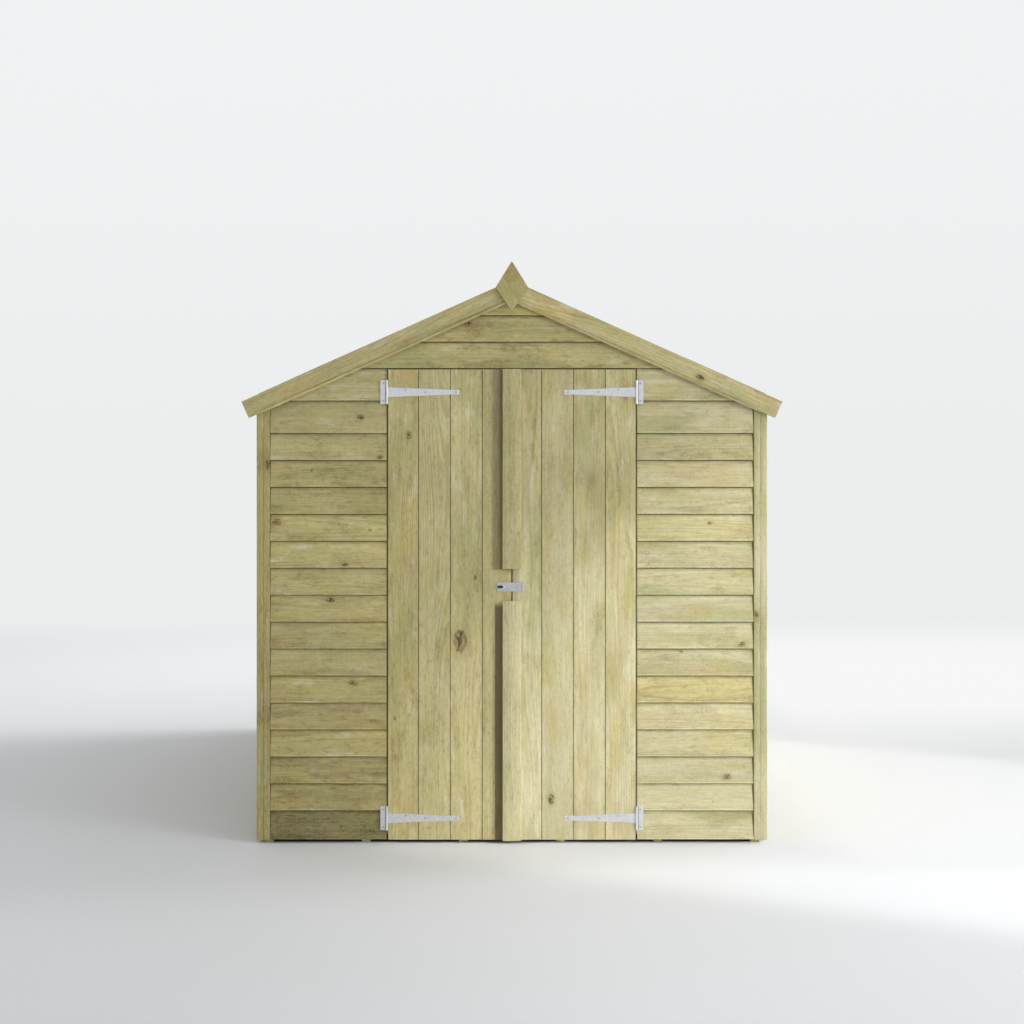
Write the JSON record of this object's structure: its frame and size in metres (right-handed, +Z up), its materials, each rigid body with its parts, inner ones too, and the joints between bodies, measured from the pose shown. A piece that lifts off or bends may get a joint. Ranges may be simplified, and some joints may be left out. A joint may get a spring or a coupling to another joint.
{
  "type": "wooden garden shed",
  "caption": "Apex-roofed timber garden shed with lapped board walls, felted roof, diamond finials and double doors on tee hinges closed by a hasp.",
  "frame": {"origin": "ground level, under the middle of the shed", "axes": "+X to the right across the front, +Y from the doors to the back, +Z up"},
  "size_m": [1.936, 2.502, 2.0851],
  "materials": {
    "treated_softwood": "sawn, green-tinted pressure treatment",
    "framing_timber": "rough sawn",
    "sheet_board": "pressed strand board",
    "roofing_felt": "mineral-grit felt",
    "galvanised_steel": "galvanised, satin"
  },
  "bodies": {
    "shed": {"floor_bearers": "framing_timber", "floor_deck": "sheet_board", "front_studs": "framing_timber", "front_rails": "framing_timber", "front_rafters": "framing_timber", "back_studs": "framing_timber", "back_rails": "framing_timber", "back_rafters": "framing_timber", "front_cladding_left": "treated_softwood", "front_cladding_right": "treated_softwood", "front_cladding_gable": "treated_softwood", "back_cladding": "treated_softwood", "back_cladding_gable": "treated_softwood", "right_wall_studs": "framing_timber", "right_wall_rails": "framing_timber", "right_wall_cladding": "treated_softwood", "left_wall_studs": "framing_timber", "left_wall_rails": "framing_timber", "left_wall_cladding": "treated_softwood", "front_corner_strips": "treated_softwood", "back_corner_strips": "treated_softwood", "roof_deck_right": "sheet_board", "roof_deck_left": "sheet_board", "roof_felt_right": "roofing_felt", "roof_felt_left": "roofing_felt", "roof_ridge_felt": "roofing_felt", "roof_beams": "framing_timber", "front_barge_boards": "treated_softwood", "back_barge_boards": "treated_softwood", "front_finial": "treated_softwood", "back_finial": "treated_softwood", "hinge_plates": "galvanised_steel"},
    "right_door": {"right_door_boards": "treated_softwood", "right_door_ledges": "framing_timber", "right_hinge_straps": "galvanised_steel", "door_cover_strips": "treated_softwood", "hasp_leaf": "galvanised_steel"},
    "left_door": {"left_door_boards": "treated_softwood", "left_door_ledges": "framing_timber", "left_hinge_straps": "galvanised_steel", "hasp_staple": "galvanised_steel"},
    "hasp_flap": {"hasp_flap": "galvanised_steel"}
  },
  "joints": [
    {"name": "right_door_hinge", "type": "hinge", "parent": "shed", "child": "right_door", "pos_m": [0.4475, -1.224, 0.8556], "axis": [0, 0, 1], "range_deg": [0, 165]},
    {"name": "left_door_hinge", "type": "hinge", "parent": "shed", "child": "left_door", "pos_m": [-0.4475, -1.224, 0.8556], "axis": [0, 0, -1], "range_deg": [0, 165]},
    {"name": "hasp_hinge", "type": "hinge", "parent": "right_door", "child": "hasp_flap", "pos_m": [0.0386, -1.2235, 0.9208], "axis": [0, 0, 1], "range_deg": [0, 165]}
  ],
  "couplings": [
    {"joint": "left_door_hinge", "follows": "right_door_hinge", "ratio": 1},
    {"joint": "hasp_hinge", "follows": "right_door_hinge", "ratio": 1}
  ]
}
